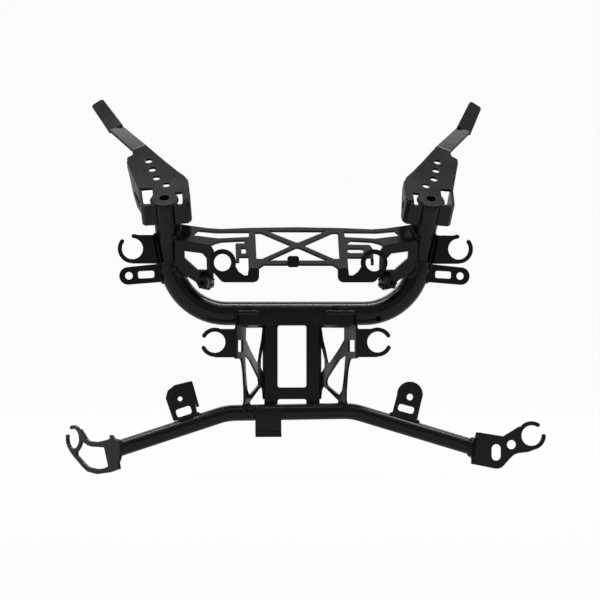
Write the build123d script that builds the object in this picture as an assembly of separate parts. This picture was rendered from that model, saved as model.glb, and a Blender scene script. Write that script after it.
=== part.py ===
from build123d import *
import math
import os

# Motorcycle fairing stay. All sizes in mm, angles in degrees.
# While drawing, x runs to the right of the stay as seen from the front, y runs to
# the rear and z up, from the middle of the bottom run of the hoop tube. At the end
# every piece is moved so that the middle of the headstock bolts is the origin.

# Stock and clearances
weld_gap = 0.1              # left between a welded piece and the tube it sits on
ear_t = 3.0                 # sheet of the two ears
brace_t = 3.0               # sheet of the cross brace
neck_t = 2.5                # sheet of the neck box
clip_t = 2.5                # sheet of the hose clips
tab_t = 3.0                 # sheet of the tabs and end brackets
fold_extra = 0.1            # bend radius beyond half the sheet

# Hoop tube
hoop_od = 25.4
hoop_wall = 2.0
hoop_half_flat = 73.1       # half of the straight bottom run
bend_r = 60.0               # centre-line radius of every hoop bend
leg_lean = 7.0              # outward lean of each leg
leg_rake = 37.0             # each leg end turns this far to the front
leg_end_len = 38.3          # straight end above the last bend
drain_r = 2.7
drain_at = (88.0, -5.8)

# Lower tube
low_od = 17.3
low_wall = 2.0
low_y = 8.0
low_bend_r = 60.0
low_left_end = (-186.9, -143.5)
low_left_bend = (-72.8, -106.3)
low_right_bend = (62.0, -104.5)
low_right_end = (198.0, -145.9)
low_over = 16.0             # drawn beyond both ends, then cut by the end sheets

# Neck box
web_y = 43.0                # middle of the rear web sheet
web_half = 30.0             # middle of the sheet to middle of the side sheet
web_top = 11.0
web_low = -115.0
web_leg = 15.65             # width of each upright of the web
web_window_top = -13.5
web_bar_top = -80.3
web_bar_low = -93.0
web_foot_top = -106.0
web_corner_r = 2.5
side_turn = 60.0            # turn of each side out from the web
side_len = 68.5
side_front_x = web_half + side_len * math.cos(math.radians(side_turn))
side_front_y = web_y - side_len * math.sin(math.radians(side_turn))
lip_half = side_front_x - 2.95
head_bolt_r = 4.35
head_bolt_half = 18.0       # half the spacing of the headstock bolts
head_bolt_z = -1.5

# Heights that follow the bends of the hoop
knee_z = bend_r * (1 - math.sin(math.radians(leg_lean)))
leg_reach = hoop_half_flat + bend_r * math.cos(math.radians(leg_lean))

# Cross brace
brace_tilt = 33.0           # lean back of the main face
brace_y = -40.0             # middle of the sheet at the lower fold
brace_z = knee_z - 5.4
brace_end = leg_reach - 3.3
gusset_x = 91.3
gusset_up = 28.7            # height of the gusset's inner corner on the face
ring_x = 80.0
ring_z = brace_z + 6.2
ring_r = 14.2
ring_bore = 9.0
ring_tab_low = brace_z - 14.6

# Clips, tabs and brackets
hose_r = 11.1               # bore of every hose clip
hose_rim_r = 15.5
up_clip_x = leg_reach + 41.0
up_clip_z = knee_z + 15.8
up_clip_y = -12.0
up_clip_lean = 10.0         # slant of the fold of the upper clips
low_clip_x = side_front_x + 22.35
low_clip_y = side_front_y + 2.3
low_clip_z = -30.5
side_tab_x = leg_reach + 45.2
side_tab_z = knee_z - 12.9
side_tab_tilt = -3.0
left_tab_at = (-122.6, -91.0)
right_tab_at = (123.9, -89.9)
centre_tab_x = -42.9        # inboard edge of the curled tab
centre_tab_z = -103.4
right_face_y = 18.0         # middle of the sheet of the right end bracket
nut_bore = 2.6
nut_af = 12.0
nut_collar_r = 6.8
nut_splay = 28.0


def turned(angle):
    """Unit step in x and y for an angle in degrees."""
    return math.cos(math.radians(angle)), math.sin(math.radians(angle))


def front_plane(y):
    """Drawing plane seen from the front, at a depth y."""
    return Plane(origin=(0, y, 0), x_dir=(1, 0, 0), z_dir=(0, -1, 0))


def outline(points, radius=0):
    """Closed outline with straight edges, all corners rounded alike."""
    face = make_face(Polyline(*points, close=True))
    if radius:
        face = fillet(face.vertices(), radius)
    return face


def hole(x, y, radius):
    return Pos(x, y) * Circle(radius)


def slot(x, y, length, height, angle=0):
    return Pos(x, y) * Rot(0, 0, angle) * SlotOverall(length, height)


def window(x, y, length, height, radius, angle=0):
    """Rectangular opening with rounded corners."""
    return Pos(x, y) * Rot(0, 0, angle) * RectangleRounded(length, height, radius)


def sheet(shape, plane, thickness):
    """Flat sheet, thickened evenly to both faces of the plane."""
    return extrude(plane * shape, amount=thickness / 2, both=True)


def fold(p, q, thickness):
    """Round bend between two sheets that meet on the line from p to q."""
    line = Vector(*q) - Vector(*p)
    end = Plane(origin=p, z_dir=line)
    return extrude(end * Circle(thickness / 2 + fold_extra), amount=line.length)


def clip_cut(radius, rim, start, stop):
    """What is taken out of a disc to leave a C that is open from start to stop."""
    c1, s1 = turned(start)
    c2, s2 = turned(stop)
    far = 3 * rim
    return Circle(radius) + outline([(0, 0), (far * c1, far * s1), (far * c2, far * s2)])


def clip_tips(radius, rim, start, stop):
    """Round ends of the C."""
    mid = (radius + rim) / 2
    end_r = (rim - radius) / 2 - 0.05
    c1, s1 = turned(start)
    c2, s2 = turned(stop)
    return hole(mid * c1, mid * s1, end_r) + hole(mid * c2, mid * s2, end_r)


def arc(start, middle, end):
    return Edge.make_three_point_arc(start, middle, end)


def mirrored(piece):
    return mirror(piece, about=Plane.YZ)


def swept(path, start, direction, radius):
    return sweep(Plane(origin=start, z_dir=direction) * Circle(radius), path=path)


# Hoop tube

def leg_points():
    """Centre-line points of the right leg and the direction of its end."""
    c, s = turned(leg_lean)
    up = Vector(s, 0, c)
    front = Vector(0, -1, 0)
    p0 = Vector(hoop_half_flat, 0, 0)
    ca, sa = turned((-90 - leg_lean) / 2)
    m0 = Vector(hoop_half_flat + bend_r * ca, 0, bend_r + bend_r * sa)
    p1 = Vector(hoop_half_flat + bend_r * c, 0, bend_r - bend_r * s)
    cr, sr = turned(leg_rake)
    ch, sh = turned(leg_rake / 2)
    m1 = p1 + up * (bend_r * sh) + front * (bend_r * (1 - ch))
    p2 = p1 + up * (bend_r * sr) + front * (bend_r * (1 - cr))
    end_dir = up * cr + front * sr
    p3 = p2 + end_dir * leg_end_len
    return p0, m0, p1, m1, p2, p3, end_dir


def hoop_path():
    p0, m0, p1, m1, p2, p3, end_dir = leg_points()
    l0, l1, n0, n1, l2, l3 = [Vector(-p.X, p.Y, p.Z) for p in (p0, p1, m0, m1, p2, p3)]
    edges = [
        Edge.make_line(l3, l2),
        arc(l2, n1, l1),
        arc(l1, n0, l0),
        Edge.make_line(l0, p0),
        arc(p0, m0, p1),
        arc(p1, m1, p2),
        Edge.make_line(p2, p3),
    ]
    return Wire(edges), l3, l2 - l3


def hoop_solid(radius):
    path, start, direction = hoop_path()
    return swept(path, start, direction, radius)


def hoop_tube():
    tube = hoop_solid(hoop_od / 2) - hoop_solid(hoop_od / 2 - hoop_wall)
    drain = sheet(hole(drain_at[0], drain_at[1], drain_r), front_plane(-10), 14)
    return tube - drain


# Lower tube

def rounded_path(points, radius):
    """Path through the points with every inner corner bent to one radius."""
    edges = []
    last = points[0]
    for before, here, after in zip(points, points[1:], points[2:]):
        d1 = (before - here).normalized()
        d2 = (after - here).normalized()
        half = math.radians(d1.get_angle(d2)) / 2
        reach = radius / math.tan(half)
        bisector = (d1 + d2).normalized()
        middle = here + bisector * (radius / math.sin(half) - radius)
        edges.append(Edge.make_line(last, here + d1 * reach))
        edges.append(arc(here + d1 * reach, middle, here + d2 * reach))
        last = here + d2 * reach
    edges.append(Edge.make_line(last, points[-1]))
    return Wire(edges)


def low_solid(radius):
    flat = (low_left_end, low_left_bend, low_right_bend, low_right_end)
    points = [Vector(x, low_y, z) for x, z in flat]
    points[0] += (points[0] - points[1]).normalized() * low_over
    points[-1] += (points[-1] - points[-2]).normalized() * low_over
    path = rounded_path(points, low_bend_r)
    return swept(path, points[0], points[1] - points[0], radius)


def beyond(plane, thickness, side):
    """Everything outboard of the inner face of a sheet that caps the lower tube."""
    block = Pos(0, 0, side * (100 - thickness / 2 - weld_gap)) * Box(400, 400, 200)
    return plane * block


def lower_tube():
    tube = low_solid(low_od / 2) - low_solid(low_od / 2 - low_wall)
    return tube - beyond(left_end_plane(), tab_t, -1) - beyond(right_cap_plane(), tab_t, 1)


# Neck box

def side_plane():
    c, s = turned(side_turn)
    return Plane(origin=(web_half, web_y, 0), x_dir=(c, -s, 0), z_dir=(-s, -c, 0))


def neck_web():
    mid = (web_top + web_low) / 2
    web = Pos(0, mid) * Rectangle(2 * web_half, web_top - web_low)
    inner = 2 * (web_half - web_leg + neck_t / 2)
    window = outline([
        (-inner / 2, web_window_top), (inner / 2, web_window_top),
        (inner / 2, web_bar_top), (-inner / 2, web_bar_top)], web_corner_r)
    foot = outline([
        (-inner / 2, web_bar_low), (inner / 2, web_bar_low),
        (inner / 2, web_foot_top), (-inner / 2, web_foot_top)], web_corner_r)
    bolts = hole(-head_bolt_half, head_bolt_z, head_bolt_r)
    bolts += hole(head_bolt_half, head_bolt_z, head_bolt_r)
    return sheet(web - window - foot - bolts, front_plane(web_y), neck_t)


def neck_side():
    """Right truss: x along the side from the web to the front, y up."""
    side = outline([
        (0, 8), (30, 8), (35, -6), (side_len - 4, -6), (side_len - 4, 1.7), (side_len, 1.7),
        (side_len, -47.5), (57.5, -48.5), (55.4, -50.5), (52, -60.7), (50.4, -71.4),
        (49, -82), (48.8, web_bar_low), (50.5, -97), (50.5, -104), (38.5, -104), (38.5, -96),
        (34.7, -92.8), (15.4, -82), (10, -79.5), (5, -80.5), (3.2, -84), (1.5, web_bar_low),
        (0, web_bar_low)])
    upper = outline([
        (47, -15.6), (2.2, -15.7), (5.4, -28.6), (10, -39.3), (13.6, -50), (15.5, -53.8),
        (20, -53.3), (36.2, -39.4), (46.6, -28.6), (47, -27)], 1)
    sliver = outline([
        (1.6, -33), (6.4, -39.4), (10.7, -50), (10.8, -58.5), (7, -62.5), (1.6, -66)], 0.8)
    middle = outline([
        (48.8, -44.2), (36.4, -50), (24.6, -60.7), (14.8, -69.8), (13.2, -74.5),
        (14.8, -77.5), (24.2, -82), (36.5, -87.4), (39, -86.5), (43.2, -82),
        (45.6, -71.3), (47.2, -60.7), (48.8, -48)], 1)
    small = window(side_len - 8.4, -34.6, 11.4, 12.4, 1)
    shape = side - upper - sliver - middle - small
    return sheet(shape, side_plane(), neck_t)


def neck_box():
    side = neck_side()
    bend = fold((web_half, web_y, web_bar_low), (web_half, web_y, 8), neck_t)
    box = neck_web() + side + bend + mirrored(side) + mirrored(bend)
    return box - hoop_solid(hoop_od / 2 + weld_gap) - low_solid(low_od / 2 + weld_gap)


def neck_lip():
    """Strip on the front of the hoop, between the two sides of the neck."""
    y = -hoop_od / 2 - weld_gap - neck_t / 2
    strip = outline([
        (-lip_half, -12.4), (lip_half, -12.4), (lip_half, -0.2), (-lip_half, -0.2)], 1)
    plate = sheet(strip, front_plane(y), neck_t)
    keep_off = sheet(outline([(0, -60), (side_len + 20, -60), (side_len + 20, 20), (0, 20)]),
                     side_plane(), neck_t + 2 * weld_gap)
    return plate - keep_off - mirrored(keep_off)


def lower_clip():
    """Right hose clip, its plate butted against the outer face of the neck side."""
    top, low = low_clip_z + 14.1, low_clip_z - 16.1
    plate = outline([
        (web_half, low), (low_clip_x, low), (low_clip_x, top), (web_half, top)])
    plate = plate + hole(low_clip_x, low_clip_z, hose_rim_r)
    plate = plate - Pos(low_clip_x, low_clip_z) * clip_cut(hose_r, hose_rim_r, -26, 31)
    plate = plate + Pos(low_clip_x, low_clip_z) * clip_tips(hose_r, hose_rim_r, -26, 31)
    face = sheet(plate, front_plane(low_clip_y), clip_t)
    inboard = Pos(0, 0, 100 - neck_t / 2 - weld_gap) * Box(400, 400, 200)
    return face - side_plane() * inboard


# Cross brace

def brace_plane():
    c, s = turned(brace_tilt)
    return Plane(origin=(0, brace_y, brace_z), x_dir=(1, 0, 0), z_dir=(0, -c, s))


def brace_half():
    """Right half of the leaning face: x from the middle, y up the face."""
    half = outline([
        (0, 4.2), (36, 4.2), (41.5, 0), (52.5, 0), (52.5, 31), (57, 34.8),
        (80, 33.4), (87, 31.2), (gusset_x, gusset_up), (brace_end, 35.4), (brace_end, 56.6),
        (113, 53.5), (95, 50.5), (80, 49.3), (50, 50.8), (0, 51.8)])
    long_slot = outline([
        (50.5, 45.7), (84.8, 45.3), (104.5, 47.3), (110, 41.2), (83.4, 37.3),
        (51, 39.2)], 0.9)
    side_gap = outline([
        (43.9, 44.6), (43.9, 11.4), (37.8, 11.4), (8.2, 27.2), (8.2, 29.2),
        (37.8, 44.6)], 0.9)
    top_gap = outline([(0, 46.9), (31.5, 46.9), (1.5, 32.3), (0, 32.3)])
    low_gap = outline([(0, 9.3), (32, 9.3), (1.5, 25.6), (0, 25.6)])
    return half - long_slot - side_gap - top_gap - low_gap


def hook_arm():
    """Right arm that ends in a hanging hook over the ring."""
    arm = outline([(51, 13.2), (73, 13.2), (77, 13.8), (77, 4.8), (80, 4.8), (80, 24),
                   (77, 29.3), (51, 29.8)], 0.9)
    return arm - slot(61.5, 21.7, 17.5, 5.6)


def short_arm():
    """Left arm with a square hole and a short hook."""
    arm = outline([(-51, 13.8), (-62, 13.8), (-62, 7.4), (-65.4, 7.4), (-65.4, 31),
                   (-51, 31)], 0.9)
    return arm - window(-57.1, 21.6, 4.8, 7, 0.5)


def ring_tab():
    """Right ring on the upright tab below the fold."""
    low = ring_tab_low
    tab = outline([
        (41.5, brace_z), (41.5, low + 6), (42.3, low + 3), (44, low + 1), (47, low),
        (78, low), (81, low + 1), (90.6, ring_z - 9.5), (ring_x, ring_z), (66.6, ring_z - 3.5),
        (63, low + 11.3), (57.5, low + 7.5), (53.5, low + 7.5), (52.5, brace_z)])
    return tab + hole(ring_x, ring_z, ring_r) - hole(ring_x, ring_z, ring_bore)


def gusset_corner():
    """Inner corner of the right gusset, on the leaning face."""
    return brace_plane().from_local_coords(Vector(gusset_x, gusset_up, 0))


def gusset_plane():
    """Plane of the right gusset: x outboard, y up, from its inner corner."""
    across = Vector(1, 0.149, 0)
    return Plane(origin=gusset_corner(), x_dir=across, z_dir=(0.149, -1, -0.310))


def gusset_spot(across, rise):
    """Point on the gusset, given by x and z from its inner corner."""
    return gusset_corner() + Vector(across, 0.149 * across - 0.310 * rise, rise)


def gusset(points, thickness):
    """Sheet on the gusset plane through points given by x and z."""
    spots = [gusset_spot(across, rise) for across, rise in points]
    face = Face(Wire.make_polygon(spots, close=True))
    return extrude(face, amount=thickness / 2, both=True)


def gusset_sheet():
    end = brace_end - gusset_x - 0.5
    body = gusset([
        (0, 0), (end, 5.6), (end, -31.4), (23.1, -32.7), (12.7, -39.4), (8.7, -44.9),
        (1.2, -46.4), (-3.3, -40.4), (-3.3, -5.4)], brace_t)
    opening = gusset([
        (27.5, -5.2), (8.9, -7.6), (4.4, -12.7), (3.8, -24.9), (13.3, -24.7),
        (27.3, -12.3)], 3 * brace_t)
    top = gusset_spot(end, 5.6)
    return body - opening + fold(tuple(gusset_corner()), tuple(top), brace_t)


def cross_brace():
    half = sheet(brace_half(), brace_plane(), brace_t)
    ring = sheet(ring_tab(), front_plane(brace_y), brace_t)
    lip = fold((41.5, brace_y, brace_z), (52.5, brace_y, brace_z), brace_t)
    right = half + ring + lip + gusset_sheet()
    arms = sheet(hook_arm(), brace_plane(), brace_t) + sheet(short_arm(), brace_plane(), brace_t)
    pad = window(-5.5, brace_z + 7.3, 12.3, 12, 3)
    front_pad = sheet(pad, front_plane(brace_y + 0.6), brace_t)
    brace = right + mirrored(right) + arms + front_pad
    return brace - hoop_solid(hoop_od / 2 + weld_gap)


def weld_nut():
    """Right weld nut, splayed outward from the foot of the gusset."""
    c, s = turned(nut_splay)
    base = Plane(origin=gusset_spot(1.9, -38.4), z_dir=(s, -c, -0.04))
    collar = extrude(base * Circle(nut_collar_r), amount=6)
    body = extrude(base * RegularPolygon(nut_af / 2, 6, major_radius=False), amount=16)
    bore = extrude(base * Circle(nut_bore), amount=18)
    keep_off = gusset_plane() * (Pos(0, 0, brace_t / 2 + weld_gap - 20) * Box(120, 160, 40))
    seat = extrude(base * Circle(nut_collar_r - 0.8), amount=-5)
    return collar + body + seat - bore - extrude(base * Circle(nut_bore), amount=-6) - keep_off


# Ears

def ear_frame():
    """Plane of the right ear: x outboard, y up the sheet to the rear."""
    p0, m0, p1, m1, p2, p3, end_dir = leg_points()
    origin = p3 + end_dir * (ear_t / 2 + weld_gap)
    across = Vector(1, 0, 0) - end_dir * end_dir.X
    return Plane(origin=origin, x_dir=across, z_dir=end_dir)


ear_holes = ((0, 0, 5.2), (-2.9, 23.9, 4.35), (7.2, 37.8, 4.35), (11.1, 54.4, 4.35),
             (14.5, 70.9, 4.35))
strap_foot = ((17.4, 102.4), (31.4, 93.6))


def ear_top():
    tongue = hole(0, 0, 13.5) + outline([(-11.9, 0), (11.9, 0), (11.9, 24), (-11.9, 24)])
    inner, outer = strap_foot
    body = outline([
        (-11.9, 8.5), (-19, 8.5), (-19, -6.5), (-23.5, -6.5), (-27.4, -2), (-26.4, 28),
        (-22.7, 37.2), (-14.7, 48.7), (-2, 69.2), inner, outer, (31.2, 86.8), (31.7, 84),
        (36.2, 80.8), (37.6, 78), (37.2, 74), (25.2, 21.8), (24.8, 20), (11.9, 20), (0, 22)])
    top = tongue + body
    for x, y, r in ear_holes:
        top = top - hole(x, y, r)
    return top


def ear_wall(plane, path, profile):
    """Flange turned down from the ear: a bent strip, trimmed along its lower edge."""
    strip = trace(Polyline(*path), line_width=ear_t)
    wall = extrude(plane * strip, amount=-42)
    side = Plane(origin=plane.origin, x_dir=plane.y_dir, z_dir=plane.x_dir)
    keep = extrude(side * outline(profile), amount=120, both=True)
    return wall & keep


def ear_strap(plane):
    """Strap that climbs from the top of the ear in two slanting steps."""
    inner, outer = [plane.from_local_coords(Vector(x, y, 0)) for x, y in strap_foot]
    steps = [(inner, outer), (Vector(182.9, 60, 204.1), Vector(197.0, 60, 195.3)),
             (Vector(202.9, 103, 233.9), Vector(215.2, 103, 226.2))]
    strap = None
    for (a, b), (c, d) in zip(steps, steps[1:]):
        normal = (b - a).cross((c + d) / 2 - (a + b) / 2).normalized()
        middle = (a + b) / 2
        up = ((c + d) / 2 - middle).normalized()
        across = up.cross(normal)
        flat = Plane(origin=middle, x_dir=across, z_dir=normal)
        corners = [flat.to_local_coords(p) for p in (a, b, d, c)]
        face = outline([(p.X, p.Y) for p in corners])
        if (c - steps[-1][0]).length < 0.01:
            tips = [v for v in face.vertices() if v.Y > 20]
            face = fillet(tips, 4)
        step = sheet(face, flat, ear_t) + fold(tuple(a), tuple(b), ear_t)
        strap = step if strap is None else strap + step
    return strap


def ear_right():
    plane = ear_frame()
    top = sheet(ear_top(), plane, ear_t)
    out_path = [(9.5, -8), (21.2, -8), (23.6, -5), (24.9, 21), (36.6, 75.5)]
    out_profile = [(-12, 0), (-12, -25.5), (16, -30), (40, -36), (55, -30), (66, -15),
                   (77.5, -7), (77.5, 0)]
    in_path = [(-9.5, -8), (-22, -8), (-25.3, -4.5), (-25.9, 1), (-24.9, 30)]
    in_profile = [(-12, 0), (-12, -27), (4, -27), (31, -9), (31, 0)]
    outboard = ear_wall(plane, out_path, out_profile)
    inboard = ear_wall(plane, in_path, in_profile)
    side = Plane(origin=plane.origin, x_dir=plane.y_dir, z_dir=plane.x_dir)
    outboard -= extrude(side * slot(34, -21.5, 25, 8), amount=60)
    inboard -= extrude(side * hole(6, -13.5, 5), amount=-60)
    front = Plane(origin=plane.origin, x_dir=plane.x_dir, z_dir=plane.y_dir * -1)
    inboard -= extrude(front * window(-16, 0, 5.5, 6.6, 1.5), amount=30)
    ear = top + outboard + inboard + ear_strap(plane)
    seat = extrude(plane * Circle(hoop_od / 2 + weld_gap), amount=-ear_t)
    seat = seat & extrude(plane * (Pos(0, 0, -ear_t) * Circle(20)), amount=ear_t / 2)
    return ear - hoop_solid(hoop_od / 2 + weld_gap) - seat


# Clips and tabs on the hoop legs

def upper_clip():
    """Right hose clip: a plate to the front, folded back onto the leg."""
    fold_x, top, low = leg_reach + 18.2, up_clip_z + 14.5, up_clip_z - 15.8
    slant = math.tan(math.radians(up_clip_lean))
    foot = (fold_x + (low - up_clip_z) * slant, low)
    head = (fold_x + (top - up_clip_z) * slant, top)
    plate = outline([foot, (up_clip_x, low), (up_clip_x, top), head])
    plate = plate + hole(up_clip_x, up_clip_z, hose_rim_r)
    plate = plate - Pos(up_clip_x, up_clip_z) * clip_cut(hose_r, hose_rim_r, 36, 95)
    plate = plate + Pos(up_clip_x, up_clip_z) * clip_tips(hose_r, hose_rim_r, 36, 95)
    face = sheet(plate, front_plane(up_clip_y), clip_t)
    start = Vector(foot[0], up_clip_y, foot[1])
    end = Vector(head[0], up_clip_y, head[1])
    rise = (end - start).normalized()
    back = Vector(-0.55, 0.835, 0)
    back = (back - rise * back.dot(rise)).normalized()
    lap_plane = Plane(origin=start, x_dir=back, z_dir=back.cross(rise))
    high = (end - start).length
    lap = sheet(outline([(0, 0), (15, 0), (15, high), (0, high)]), lap_plane, clip_t)
    bend = fold(tuple(start), tuple(end), clip_t)
    return face + lap + bend - hoop_solid(hoop_od / 2 + weld_gap)


def side_tab():
    """Right tab: drawn from its hole inboard to the leg, then tilted."""
    root = leg_reach - side_tab_x + 3.9
    tab = outline([(root, -8.2), (0, -9.4), (0, 9.4), (root, 11.6)])
    tab = tab + hole(0, 0, 9.4)
    tab = tab - hole(-0.8, 0, 4.0) - window(-19.1, 0.4, 17.2, 7.6, 2.2)
    tab = Pos(side_tab_x, side_tab_z) * Rot(0, 0, side_tab_tilt) * tab
    return sheet(tab, front_plane(0), tab_t) - hoop_solid(hoop_od / 2 + weld_gap)


# Tabs on the lower tube

def tube_tab_left():
    x, z = left_tab_at
    tab = outline([
        (-15.2, 0.4), (-13.2, 8.6), (-5.8, 14.6), (11.4, 18.8), (19, -18), (-6.8, -24)], 1.8)
    tab = tab - hole(0, 0, 4.2) - window(4.1, -13.6, 16.4, 8.6, 2.7, 18)
    plate = sheet(Pos(x, z) * tab, front_plane(low_y), tab_t)
    c, s = turned(-74)
    flap_plane = Plane(origin=(x + 11.7, low_y, z + 18.2), x_dir=(0, 1, 0), z_dir=(-s, 0, c))
    flap = sheet(outline([(0, 0), (14, 0), (14, -28), (3.5, -28), (3.5, -14), (0, -14)]),
                 flap_plane, tab_t)
    return plate + flap - low_solid(low_od / 2 + weld_gap)


def tab_nut():
    """Weld nut on the front of the left tube tab."""
    seat = front_plane(low_y - tab_t / 2 - weld_gap)
    spot = Pos(*left_tab_at)
    nut = extrude(seat * (spot * RegularPolygon(7, 6, major_radius=False)), amount=5)
    return nut - extrude(seat * (spot * Circle(3.3)), amount=6)


def tube_tab_right():
    x, z = right_tab_at
    tab = hole(0.1, 2.8, 13.8) + outline([
        (-14, 1.4), (13.9, 2.8), (6.8, -29), (-20.3, -22.1)])
    tab = tab - hole(0, 0, 3.5) - window(-4.1, -12.7, 17.6, 7.4, 2.7, -15)
    plate = sheet(Pos(x, z) * tab, front_plane(low_y), tab_t)
    rim = Pos(x, z) * (Circle(8) - Circle(6.2))
    dish = extrude(front_plane(low_y - tab_t / 2 + 0.2) * rim, amount=1.0)
    return plate + dish - low_solid(low_od / 2 + weld_gap)


def centre_tab():
    """Tab on the front of the lower tube, curled forward at its lower edge."""
    y = low_y - low_od / 2 - weld_gap - tab_t / 2
    side = Plane(origin=(centre_tab_x, 0, 0), x_dir=(0, 1, 0), z_dir=(1, 0, 0))
    top, low = centre_tab_z, centre_tab_z - 22
    path = Line((y, top), (y, low))
    path += ThreePointArc((y, low), (y - 1.3, low - 3.2), (y - 4.5, low - 4.5))
    return extrude(side * trace(path, line_width=tab_t), amount=27.7)


# End brackets

def left_end_plane():
    """Plane of the left bracket: x runs outboard and to the rear, y up."""
    x, z = low_left_end
    return Plane(origin=(x, 0, z), x_dir=(-0.56, 0.83, 0), z_dir=(0.83, 0.56, 0))


def end_bracket_left():
    hook = Pos(84.9, 7.5)
    frame = outline([
        (-2.5, 7.5), (-0.5, 9.2), (4.8, 8.3), (8.3, 10.1), (14.2, 14.2), (16.6, 13.6),
        (16.4, 10.6), (20.3, 8.9), (38.9, 5.7), (55, 5.9), (60, 8.2), (71.6, 18.4),
        (84.9, 7.5), (93.2, -5), (86.8, -10.2), (67.3, -22.6), (57.8, -27), (41, -28.8),
        (17.7, -26), (-0.7, -21.2), (1.2, -14.9), (-1.2, -11), (-2.5, -8)])
    gap = outline([
        (27, 0.3), (50.4, 0.2), (58.7, 1.6), (69, 5.7), (72, -0.5), (79, -7.3),
        (78.5, -10.1), (66, -17.5), (56, -22.1), (40, -23.4), (27, -21.9),
        (19.2, -19.5)], 1)
    rim = hose_rim_r - 0.9
    shape = frame - gap + hook * Circle(rim)
    shape = shape - hook * clip_cut(hose_r - 0.3, rim, 10, 68)
    shape = shape + hook * clip_tips(hose_r - 0.3, rim, 10, 68)
    return sheet(shape, left_end_plane(), tab_t)


def right_fold():
    """Foot and head of the fold of the right end bracket, in x and z."""
    x, z = low_right_end
    return (x - 5.0, z - 16.8), (x + 0.6, z + 17.4)


def right_cap_plane():
    """Plane of the flange that caps the lower tube: x to the rear, y up the fold."""
    foot, head = [Vector(x, right_face_y, z) for x, z in right_fold()]
    rise = (head - foot).normalized()
    back = Vector(0.371, 0.928, 0)
    back = (back - rise * back.dot(rise)).normalized()
    return Plane(origin=foot, x_dir=back, z_dir=back.cross(rise))


def end_bracket_right():
    x, z = low_right_end
    foot, head = right_fold()
    hook = Pos(x + 59.5, z + 13.7)
    lower = Pos(x, z) * (hole(21.5, -11.9, 10) + outline([
        (-5, -16.8), (0.6, 17.4), (3.5, 17.2), (28.6, 13.1), (34.8, 16.8), (46, 23.6),
        (59.5, 13.7), (68.6, 1.0), (56.3, -3.9), (44, -5.4), (40.5, -6.9), (37.3, -9.5),
        (28.9, -18.65), (21.5, -11.9), (19.4, -21.7)]))
    shape = lower + hook * Circle(hose_rim_r)
    shape = shape - hook * clip_cut(hose_r, hose_rim_r, -2, 59)
    shape = shape + hook * clip_tips(hose_r, hose_rim_r, -2, 59)
    holes = slot(20.95, -4.3, 17.7, 10.1, 90) + hole(37.5, 4, 4.95)
    face = sheet(shape - Pos(x, z) * holes, front_plane(right_face_y), tab_t)
    high = math.hypot(head[0] - foot[0], head[1] - foot[1])
    middle = -(right_face_y - low_y) / 0.928
    cap = hole(middle, 18.3, low_od / 2 + 2.2) + outline([
        (0, 0), (0, high), (-2.5, high - 5), (-6, high - 6.4), (middle, high - 6.4),
        (middle, 7.6), (-6, 6.2), (-2.5, 4.6)])
    cap = sheet(cap, right_cap_plane(), tab_t)
    bend = fold((foot[0], right_face_y, foot[1]), (head[0], right_face_y, head[1]), tab_t)
    return face + cap + bend


def write_parts():
    os.makedirs("parts", exist_ok=True)
    right = {
        "ear": ear_right(),
        "weld_nut": weld_nut(),
        "hose_clip_upper": upper_clip(),
        "side_tab": side_tab(),
        "hose_clip_lower": lower_clip(),
    }
    pieces = {
        "hoop_tube": hoop_tube(),
        "cross_brace": cross_brace(),
        "neck_box": neck_box(),
        "neck_lip": neck_lip(),
        "lower_tube": lower_tube(),
        "tube_tab_left": tube_tab_left(),
        "tube_tab_right": tube_tab_right(),
        "tab_weld_nut": tab_nut(),
        "centre_tab": centre_tab(),
        "end_bracket_left": end_bracket_left(),
        "end_bracket_right": end_bracket_right(),
    }
    for name, piece in right.items():
        pieces[name + "_right"] = piece
        pieces[name + "_left"] = mirrored(piece)
    home = Pos(0, -web_y - neck_t / 2, -head_bolt_z)
    for name, piece in pieces.items():
        export_step(home * piece, "parts/" + name + ".step")
        print(name, len(piece.solids()), round(piece.volume))


write_parts()
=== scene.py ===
# %% [markdown]
# # Motorcycle fairing stay
# A fairing stay is the welded steel frame in front of a motorcycle's steering head.
# It carries the fairing, the lamp and the hoses. This one is a bent hoop of 25.4 mm
# tube, a thinner tube below it, and folded sheet brackets, all welded together and
# then dipped in black coat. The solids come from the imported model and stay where
# they are. This file gives them their finish, and adds the welds, the threads, the
# floor, the lights and the camera.

# %% Load the solids
import math
import random
import bpy
import bmesh
from mathutils import Matrix, Vector
from mathutils.bvhtree import BVHTree


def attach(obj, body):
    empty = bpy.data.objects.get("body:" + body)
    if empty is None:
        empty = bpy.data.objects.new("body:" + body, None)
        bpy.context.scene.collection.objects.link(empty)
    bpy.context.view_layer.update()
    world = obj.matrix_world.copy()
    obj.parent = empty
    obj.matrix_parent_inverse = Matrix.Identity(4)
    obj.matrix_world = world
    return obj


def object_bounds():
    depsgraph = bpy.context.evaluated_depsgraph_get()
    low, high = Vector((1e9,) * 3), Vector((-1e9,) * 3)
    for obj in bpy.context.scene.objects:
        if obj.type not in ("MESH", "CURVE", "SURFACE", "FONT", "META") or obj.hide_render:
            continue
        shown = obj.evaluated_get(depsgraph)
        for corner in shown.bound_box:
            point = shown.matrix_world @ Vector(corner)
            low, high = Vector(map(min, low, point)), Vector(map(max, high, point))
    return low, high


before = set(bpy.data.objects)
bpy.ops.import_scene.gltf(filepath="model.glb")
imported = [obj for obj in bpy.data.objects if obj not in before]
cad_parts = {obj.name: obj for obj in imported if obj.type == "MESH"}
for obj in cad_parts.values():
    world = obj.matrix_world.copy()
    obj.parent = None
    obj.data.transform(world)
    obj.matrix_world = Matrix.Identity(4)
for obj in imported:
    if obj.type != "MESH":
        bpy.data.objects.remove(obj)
solid_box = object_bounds()
print("pieces of the stay:", len(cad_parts))

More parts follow.
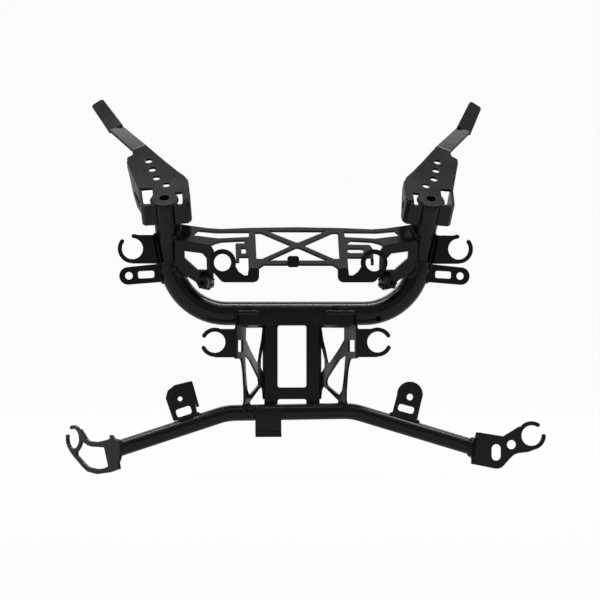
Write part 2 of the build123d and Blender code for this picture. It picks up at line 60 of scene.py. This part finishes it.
# %% [markdown]
# ## Sizes and places
# Blender works in metres, and a workshop drawing of a bracket is in millimetres.
# The stay was drawn from the middle of the hoop's bottom run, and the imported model
# has its origin at the headstock bolts, so one small function turns a place on the
# drawing into a place in the scene.

# %% Millimetres on the drawing to metres in the scene
mm = 0.001
drawing_origin = Vector((0.0, -44.25, 1.5))


def at(x, y, z):
    return (Vector((x, y, z)) + drawing_origin) * mm


def on_drawing(place):
    return place / mm - drawing_origin


print("middle of the hoop's bottom run:", [round(v, 5) for v in at(0, 0, 0)])

# %% [markdown]
# ## Colours and nodes
# Colours are picked as the hex values that a screen shows. Blender's shaders want
# linear light, so one function turns one into the other. A second small function
# adds a shader node, with its settings and its links, and every material is built
# with it.

# %% Hex colours and shader nodes
def linear(hex_colour):
    parts = [int(hex_colour[i:i + 2], 16) / 255 for i in (1, 3, 5)]
    light = [p / 12.92 if p <= 0.04045 else ((p + 0.055) / 1.055) ** 2.4 for p in parts]
    return (*light, 1.0)


def add(tree, kind, settings=None, links=None):
    node = tree.nodes.new(kind)
    for name, value in (settings or {}).items():
        if isinstance(name, int) or name in node.inputs:
            node.inputs[name].default_value = value
        else:
            setattr(node, name, value)
    for name, source in (links or {}).items():
        tree.links.new(source, node.inputs[name])
    return node


print("black coat in linear light:", [round(c, 4) for c in linear("#191a19")])

# %% [markdown]
# ## The finish: black dip coat on steel
# The real stay is cleaned, dipped in black paint that an electric current pulls on
# to the steel, and baked. That gives a thin, even, semi-gloss film. It has a faint
# orange peel of a millimetre or two, tiny specks of dust, and slightly duller
# patches where it was handled. A paint film isn't metallic, so the base is a dark
# dielectric with an index of refraction of 1.5, and its look comes from roughness.

# %% Coated steel
def coated_steel(name, peel_mm, peel_depth_mm, dull, shiny):
    material = bpy.data.materials.new(name)
    material.use_nodes = True
    tree = material.node_tree
    tree.nodes.clear()
    place = add(tree, "ShaderNodeTexCoord").outputs["Object"]
    # handled patches, about 35 mm across
    patches = add(tree, "ShaderNodeTexNoise", {"Scale": 1 / (35 * mm), "Detail": 3.0},
                  {"Vector": place})
    # dust specks are 0.2 mm on the real coat, and drawn 0.8 mm so that they show
    specks = add(tree, "ShaderNodeTexNoise", {"Scale": 1 / (0.8 * mm), "Detail": 1.0},
                 {"Vector": place})
    peel = add(tree, "ShaderNodeTexNoise", {"Scale": 1 / (peel_mm * mm), "Detail": 2.0},
               {"Vector": place})
    blend = add(tree, "ShaderNodeMath", {"operation": "MULTIPLY_ADD", 1: 0.35},
                {0: specks.outputs["Fac"], 2: patches.outputs["Fac"]})
    rough = add(tree, "ShaderNodeMapRange",
                {"From Min": 0.4, "From Max": 0.95, "To Min": shiny, "To Max": dull},
                {"Value": blend.outputs[0]})
    # of a colour mix, input 0 is the share and 6 and 7 are the two colours
    tint = add(tree, "ShaderNodeMix",
               {"data_type": "RGBA", 6: linear("#131413"), 7: linear("#1b1c1a")},
               {0: patches.outputs["Fac"]})
    # paint rounds off every edge a little, which gives each one its thin bright line
    rounded = add(tree, "ShaderNodeBevel", {"samples": 4, "Radius": 1.2 * mm})
    bump = add(tree, "ShaderNodeBump", {"Strength": 1.0, "Distance": peel_depth_mm * mm},
               {"Height": peel.outputs["Fac"], "Normal": rounded.outputs["Normal"]})
    coat = add(tree, "ShaderNodeBsdfPrincipled", {"Metallic": 0.0, "IOR": 1.5},
               {"Base Color": tint.outputs[2], "Roughness": rough.outputs["Result"],
                "Normal": bump.outputs["Normal"]})
    add(tree, "ShaderNodeOutputMaterial", None, {"Surface": coat.outputs["BSDF"]})
    return material


sheet_coat = coated_steel("black_dip_coat_on_steel", peel_mm=1.6, peel_depth_mm=0.006,
                          dull=0.24, shiny=0.16)
weld_coat = coated_steel("black_dip_coat_on_weld", peel_mm=1.1, peel_depth_mm=0.11,
                         dull=0.24, shiny=0.12)
print("finishes:", sheet_coat.name, "and", weld_coat.name)

# %% [markdown]
# The whole frame is dipped at once, after the welding, so every solid gets the same
# coat. Each keeps its own place in its mesh, so the pattern runs on from one piece to
# the next.

# %% Dress the solids
for node_name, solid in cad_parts.items():
    solid.data.materials.clear()
    solid.data.materials.append(sheet_coat)
print("solids with the coat:", len(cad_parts))

# %% [markdown]
# ## Weld seams
# Every joint of the stay is arc welded. The welder lays one small puddle after the
# other, so a bead looks like a row of overlapping coins. The solids stop a tenth of
# a millimetre short of each other, so a seam can be found: it is where the sharp
# edges of one piece lie close to the surface of the next. That keeps each bead on
# its joint, seen from any side. The search works on copies of the solids, so the
# solids themselves stay as they are.

# %% Find the edges of a seam
reach_mm = 0.5
sharp_degrees = 25


def seam_edges(node, other, keep=None):
    """Sharp edges of a piece that lie close to another piece."""
    target = bmesh.new()
    target.from_mesh(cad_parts[other].data)
    surface = BVHTree.FromBMesh(target)
    piece = bmesh.new()
    piece.from_mesh(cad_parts[node].data)
    bmesh.ops.remove_doubles(piece, verts=piece.verts, dist=0.001 * mm)
    found = []
    for edge in piece.edges:
        if len(edge.link_faces) != 2 or edge.calc_face_angle() < math.radians(sharp_degrees):
            continue
        ends = [v.co.copy() for v in edge.verts]
        spots = [ends[0], (ends[0] + ends[1]) / 2, ends[1]]
        if any(surface.find_nearest(p)[3] > reach_mm * mm for p in spots):
            continue
        if keep is None or keep(spots[1] / mm):
            found.append(tuple(ends))
    target.free()
    piece.free()
    return found


brace_edges = seam_edges("cross_brace", "hoop_tube")
print("edges on the seams of the cross brace:", len(brace_edges))

# %% [markdown]
# The edges come in no order. A bead runs along a line, so edges that share an end
# are joined one after the other, forwards and then backwards, until none is left
# that goes on. Places are rounded to a micrometre, so that equal ends are found.

# %% Join edges into lines
def rounded(place):
    return tuple(round(c, 6) for c in place)


def seam_lines(edges):
    """Joins edges end to end into lines."""
    spots = {}
    for a, b in edges:
        for p, q in ((a, b), (b, a)):
            spots.setdefault(rounded(p), []).append(q)
    lines = []
    unused = {frozenset((rounded(a), rounded(b))) for a, b in edges}
    while unused:
        start = min(unused, key=sorted)
        ends = sorted(start)
        unused.discard(start)
        line = [Vector(ends[0]), Vector(ends[1])]
        for side in (-1, 0):
            while True:
                tip = rounded(line[side])
                step = None
                for q in spots[tip]:
                    pair = frozenset((tip, rounded(q)))
                    if pair in unused:
                        step = (q, pair)
                        break
                if step is None:
                    break
                unused.discard(step[1])
                if side == -1:
                    line.append(step[0])
                else:
                    line.insert(0, step[0])
        lines.append(line)
    return lines


def length_of(line):
    return sum((b - a).length for a, b in zip(line, line[1:]))


print("seams of the cross brace in mm:", [round(length_of(line) / mm) for line in seam_lines(brace_edges)])

# %% [markdown]
# A bead is a row of balls that are pressed flat along the seam, like coins in a
# roll. `create_uvsphere` makes each one, with few faces because there are hundreds,
# and a seeded random number varies its size and its lean a little, as a hand does.
# The coins overlap, so the row reads as one ridge with ripples, and each ripple
# catches its own glint of the light above.

# %% Divide a line evenly
def steps_along(line, step):
    """Even steps along a line, each as a place and a direction."""
    total = length_of(line)
    count = max(2, round(total / step))
    walked, index = 0.0, 0
    for n in range(count + 1):
        goal = total * n / count
        while index < len(line) - 2 and walked + (line[index + 1] - line[index]).length < goal:
            walked += (line[index + 1] - line[index]).length
            index += 1
        a, b = line[index], line[index + 1]
        yield a + (b - a) * min(1.0, (goal - walked) / max((b - a).length, 1e-9)), b - a


long_seam = max(seam_lines(brace_edges), key=length_of)
print("puddles on the brace's longest seam:", len(list(steps_along(long_seam, 3.2 * mm))))

# %% Lay a bead
shortest_bead_mm = 4.0
puddle_size = (0.88, 1.12)
puddle_flatness = (0.6, 0.75)
puddle_lean_degrees = 14
wander_mm = 0.2


def lay_bead(name, lines, width_mm=5.0, step_mm=2.6, keep=None, out_mm=(0, 0, 0)):
    chance = random.Random(name)
    bead = bmesh.new()
    puddles = 0
    for line in lines:
        if length_of(line) < shortest_bead_mm * mm:
            continue
        for spot, along in steps_along(line, step_mm * mm):
            if keep is not None and not keep(on_drawing(spot)):
                continue
            radius = width_mm / 2 * mm * chance.uniform(*puddle_size)
            drift = Vector([(o + chance.uniform(-wander_mm, wander_mm)) * mm for o in out_mm])
            size = Matrix.Diagonal((chance.uniform(*puddle_flatness), 1.0, 0.95, 1.0))
            lean = math.radians(chance.uniform(-puddle_lean_degrees, puddle_lean_degrees))
            turn = along.to_track_quat("X", "Z").to_matrix().to_4x4() @ Matrix.Rotation(lean, 4, "Z")
            bmesh.ops.create_uvsphere(bead, u_segments=10, v_segments=6, radius=radius,
                                      matrix=Matrix.Translation(spot + drift) @ turn @ size)
            puddles += 1
    for face in bead.faces:
        face.smooth = True
    mesh = bpy.data.meshes.new(name)
    bead.to_mesh(mesh)
    bead.free()
    mesh.materials.append(weld_coat)
    piece = bpy.data.objects.new(name, mesh)
    bpy.context.scene.collection.objects.link(piece)
    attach(piece, "root")
    print(name, "has", puddles, "puddles")
    return piece


for side in ("left", "right"):
    sign = -1 if side == "left" else 1
    brace_seam = seam_edges("cross_brace", "hoop_tube", keep=lambda p: p.x * sign > 0)
    lay_bead("weld_brace_to_hoop_" + side, seam_lines(brace_seam), width_mm=7.0, step_mm=3.2)

# %% [markdown]
# The other joints are welded in the same way, each with a bead as wide as its sheet
# allows. Where a tube ends in a bracket, the edges give several lines, and the
# longest is the one round the tube. A seam is the inner corner of a joint, and these
# beads are laid on it where it is found.

# %% The other welds between sheet and tube
def weld(name, node, other, width_mm, step_mm=2.6):
    lay_bead(name, seam_lines(seam_edges(node, other)), width_mm, step_mm)


def weld_round_tube(name, node, other):
    """The longest line of a joint is the one round the tube."""
    ring = seam_lines(seam_edges(node, other))
    lay_bead(name, sorted(ring, key=length_of)[-1:], width_mm=4.8)


for side in ("left", "right"):
    sign = -1 if side == "left" else 1
    neck_seam = seam_edges("neck_box", "hoop_tube", keep=lambda p: p.x * sign > 0)
    lay_bead("weld_neck_to_hoop_" + side, seam_lines(neck_seam), width_mm=4.4)
    foot_seam = seam_edges("neck_box", "lower_tube", keep=lambda p: p.x * sign > 0)
    lay_bead("weld_neck_to_lower_tube_" + side, seam_lines(foot_seam), width_mm=4.6)
    weld("weld_side_tab_" + side, "side_tab_" + side, "hoop_tube", width_mm=4.6)
    weld("weld_upper_clip_" + side, "hose_clip_upper_" + side, "hoop_tube", width_mm=4.0, step_mm=2.2)
    weld("weld_lower_clip_" + side, "hose_clip_lower_" + side, "neck_box", width_mm=3.2, step_mm=1.8)
    weld("weld_tube_tab_" + side, "tube_tab_" + side, "lower_tube", width_mm=5.6, step_mm=2.8)
    weld_round_tube("weld_ear_" + side, "hoop_tube", "ear_" + side)
    weld_round_tube("weld_end_bracket_" + side, "lower_tube", "end_bracket_" + side)
    weld("weld_nut_foot_" + side, "weld_nut_" + side, "cross_brace", width_mm=2.6, step_mm=1.4)

# %% [markdown]
# Two beads face the camera and lap over the edge of their sheet. The strip on the
# hoop is welded at each end of its top edge and down the corner, and not in the
# middle. The limits are places on the drawing in millimetres.

# %% The welds of the centre tab and of the strip on the hoop
lip_weld_foot = -3
lip_weld_left = -41
lip_weld_right = 31


def at_lip_ends(place):
    return place.z > lip_weld_foot and (place.x < lip_weld_left or place.x > lip_weld_right)


tab_seam = seam_lines(seam_edges("centre_tab", "lower_tube"))
lay_bead("weld_centre_tab", tab_seam, width_mm=6.0, step_mm=3.0, out_mm=(0, -1.8, 0.8))
lip_seam = seam_lines(seam_edges("neck_lip", "hoop_tube"))
lay_bead("weld_neck_lip", lip_seam, width_mm=7.0, step_mm=3.2, out_mm=(0, -1.8, 0.6), keep=at_lip_ends)

# %% [markdown]
# ## Threads
# The two nuts of the cross brace and the nut of the left tab are tapped. A thread is
# a small ridge that climbs round the bore, so its three-cornered section is spun
# about the axis of the bore and moved along it a little at each step: one pitch in
# one turn. The weld nuts would have a pitch of 1 mm, and it is drawn at 1.5 mm so
# that it shows.

# %% Tap a nut
thread_height_mm = 0.75
thread_sink_mm = 0.05
steps_in_a_turn = 24


def thread(name, foot, axis, bore_mm, length_mm, pitch_mm):
    """A ridge inside a bore of the radius bore_mm."""
    axis = Vector(axis).normalized()
    out = axis.orthogonal().normalized()
    root, crest = bore_mm + thread_sink_mm, bore_mm - thread_height_mm
    ridge = bmesh.new()
    corners = [ridge.verts.new(foot + (out * reach + axis * rise * pitch_mm) * mm)
               for reach, rise in ((root, 0.1), (crest, 0.5), (root, 0.9))]
    edges = [ridge.edges.new((corners[i], corners[(i + 1) % 3])) for i in range(3)]
    turns = length_mm / pitch_mm - 1
    steps = round(turns * steps_in_a_turn)
    bmesh.ops.spin(ridge, geom=corners + edges, cent=foot, axis=axis,
                   dvec=axis * pitch_mm * mm / steps_in_a_turn,
                   angle=math.tau * steps / steps_in_a_turn, steps=steps, use_merge=False)
    bmesh.ops.holes_fill(ridge, edges=[e for e in ridge.edges if e.is_boundary], sides=3)
    bmesh.ops.recalc_face_normals(ridge, faces=ridge.faces)
    mesh = bpy.data.meshes.new(name)
    ridge.to_mesh(mesh)
    ridge.free()
    mesh.materials.append(sheet_coat)
    piece = bpy.data.objects.new(name, mesh)
    bpy.context.scene.collection.objects.link(piece)
    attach(piece, "root")
    print(name, "has", round(turns, 1), "turns")


thread("thread_tab_nut", at(-122.6, 6.4, -91), (0, -1, 0), bore_mm=3.3, length_mm=5.0, pitch_mm=1.25)

# %% [markdown]
# The weld nuts sit on the feet of the gussets and lean outwards with them, so their
# axes lean too. The thread starts 4 mm up from the foot.

# %% Thread the weld nuts
for side, sign in (("left", -1), ("right", 1)):
    nut_axis = Vector((sign * 0.4695, -0.8829, -0.04)).normalized()
    nut_foot = at(sign * 93.2, -12.18, 32.96) + nut_axis * 4 * mm
    thread("thread_weld_nut_" + side, nut_foot, nut_axis, bore_mm=2.6, length_mm=11.5, pitch_mm=1.5)

# %% [markdown]
# ## Floor and backdrop
# The stay stands over a pale floor that curves up into a backdrop, as on a studio
# sweep. The floor is a plain grid. Its back edge is extruded upwards, and the corner
# between them is bevelled in sixteen steps. Sizes here are in metres.

# %% Studio sweep
half_floor = 4.0
wall_height = 5.0
corner_radius = 1.5


def studio_sweep():
    floor_z = solid_box[0].z - 0.5 * mm
    sweep = bmesh.new()
    bmesh.ops.create_grid(sweep, x_segments=1, y_segments=1, size=half_floor,
                          matrix=Matrix.Translation((0, 0, floor_z)))
    back = [e for e in sweep.edges if all(v.co.y > 0 for v in e.verts)]
    raised = bmesh.ops.extrude_edge_only(sweep, edges=back)["geom"]
    wall_top = [g for g in raised if isinstance(g, bmesh.types.BMVert)]
    bmesh.ops.translate(sweep, vec=(0, 0, wall_height), verts=wall_top)
    corner = [e for e in sweep.edges if len(e.link_faces) == 2]
    bmesh.ops.bevel(sweep, geom=corner, offset=corner_radius, segments=16, profile=0.5,
                    affect="EDGES", material=-1)
    bmesh.ops.recalc_face_normals(sweep, faces=sweep.faces)
    for face in sweep.faces:
        face.smooth = True
    mesh = bpy.data.meshes.new("studio_sweep")
    sweep.to_mesh(mesh)
    sweep.free()
    return bpy.data.objects.new("studio_sweep", mesh)


sweep_piece = studio_sweep()
bpy.context.scene.collection.objects.link(sweep_piece)
print("floor at z in metres:", round(solid_box[0].z, 4))

# %% [markdown]
# The camera sees the paper almost white, because plain white light is mixed into it
# for the camera and, more weakly, for reflections. A little of its own shading is
# kept for the shadow of the stay. For light that only bounces off it, the paper is
# darker, so that the undersides of the black tubes stay black.

# %% Studio paper
def sweep_paper():
    material = bpy.data.materials.new("matt_white_studio_paper")
    material.use_nodes = True
    tree = material.node_tree
    tree.nodes.clear()
    ray = add(tree, "ShaderNodeLightPath")
    tone = add(tree, "ShaderNodeMix",
               {"data_type": "RGBA", 6: linear("#6e6e6c"), 7: linear("#f4f4f2")},
               {0: ray.outputs["Is Camera Ray"]})
    paper = add(tree, "ShaderNodeBsdfDiffuse", None, {"Color": tone.outputs[2]})
    white = add(tree, "ShaderNodeEmission", {"Color": (1, 1, 1, 1), "Strength": 1.0})
    mirrored = add(tree, "ShaderNodeMath", {"operation": "MULTIPLY", 1: 0.3},
                   {0: ray.outputs["Is Glossy Ray"]})
    seen = add(tree, "ShaderNodeMath", {"operation": "MULTIPLY_ADD", 1: 0.96},
               {0: ray.outputs["Is Camera Ray"], 2: mirrored.outputs[0]})
    mixed = add(tree, "ShaderNodeMixShader", None,
                {0: seen.outputs[0], 1: paper.outputs[0], 2: white.outputs[0]})
    add(tree, "ShaderNodeOutputMaterial", None, {"Surface": mixed.outputs[0]})
    return material


sweep_piece.data.materials.append(sweep_paper())
print("paper:", sweep_piece.data.materials[0].name)

# %% [markdown]
# ## Lights
# The photograph has one long light straight above, which leaves a narrow bright
# line along the top of every tube and lifts the faces that look up, while the faces
# towards the camera stay nearly black. A long, narrow strip hangs over the stay, and
# a large, weak panel above it softens its edges. A weak panel further to the front
# lifts the leaning cross brace. Two weak panels stand at the sides and a little
# behind, where they draw the faint lines down the legs and lift the slanting sides
# of the neck. One more hangs high behind the stay and lights its back, which the
# photograph's view doesn't show.

# %% Panels
def panel(name, place, aim, width, height, watts):
    light = bpy.data.lights.new(name, "AREA")
    light.shape = "RECTANGLE"
    light.size = width
    light.size_y = height
    light.energy = watts
    lamp = bpy.data.objects.new(name, light)
    lamp.location = place
    lamp.rotation_euler = (Vector(aim) - Vector(place)).to_track_quat("-Z", "Y").to_euler()
    bpy.context.scene.collection.objects.link(lamp)
    return lamp


panel("strip_above", (0.0, 0.01, 1.35), (0, 0.01, 0), width=1.9, height=0.20, watts=14)
panel("soft_panel_above", (0.0, -0.15, 1.5), (0, -0.15, 0), width=2.6, height=1.5, watts=0.9)
panel("front_panel_above", (0.0, -0.5, 1.3), (0, -0.05, 0), width=1.9, height=0.5, watts=2.4)
panel("back_panel", (0.0, 1.7, 1.15), (0, 0, 0), width=2.4, height=0.8, watts=12)
panel("side_panel_left", (-1.5, 0.85, 0.15), (0, 0, 0), width=0.7, height=1.4, watts=4.0)
panel("side_panel_right", (1.5, 0.85, 0.15), (0, 0, 0), width=0.7, height=1.4, watts=4.0)

# %% [markdown]
# The world gives a little even fill, and the camera sees it white, so that every view
# has the same plain background. The view transform Standard shows a colour about as
# it is written.

# %% World
world = bpy.data.worlds.new("studio_fill")
world.use_nodes = True
bpy.context.scene.world = world
room = world.node_tree
room.nodes.clear()
fill = add(room, "ShaderNodeBackground", {"Color": (1, 1, 1, 1), "Strength": 0.16})
white_room = add(room, "ShaderNodeBackground", {"Color": (1, 1, 1, 1), "Strength": 1.0})
ray = add(room, "ShaderNodeLightPath")
seen_room = add(room, "ShaderNodeMixShader", None,
                {0: ray.outputs["Is Camera Ray"], 1: fill.outputs[0], 2: white_room.outputs[0]})
add(room, "ShaderNodeOutputWorld", None, {"Surface": seen_room.outputs[0]})
bpy.context.scene.view_settings.view_transform = "Standard"
print("strength of the fill:", fill.inputs["Strength"].default_value)

# %% [markdown]
# ## Camera
# The photograph was taken level with the stay, from about three metres, a few
# degrees to its left. A long lens keeps the perspective as weak as it is there.
# The lens is worked out from the width that the frame takes in at the hoop.

# %% Camera at the photograph's angle
def photo_camera():
    aim = at(5.03, 0, 14.2)
    turn = math.radians(-4.9)
    distance = 3.0
    width = 639.6 * mm
    camera = bpy.data.cameras.new("photo_camera")
    camera.sensor_width = 36.0
    camera.lens = 36.0 * distance / width
    viewer = bpy.data.objects.new("photo_camera", camera)
    viewer.location = aim + Vector((math.sin(turn), -math.cos(turn), 0)) * distance
    viewer.rotation_euler = (aim - viewer.location).to_track_quat("-Z", "Y").to_euler()
    bpy.context.scene.collection.objects.link(viewer)
    return viewer


bpy.context.scene.camera = photo_camera()
print("lens in mm:", round(bpy.context.scene.camera.data.lens, 1))
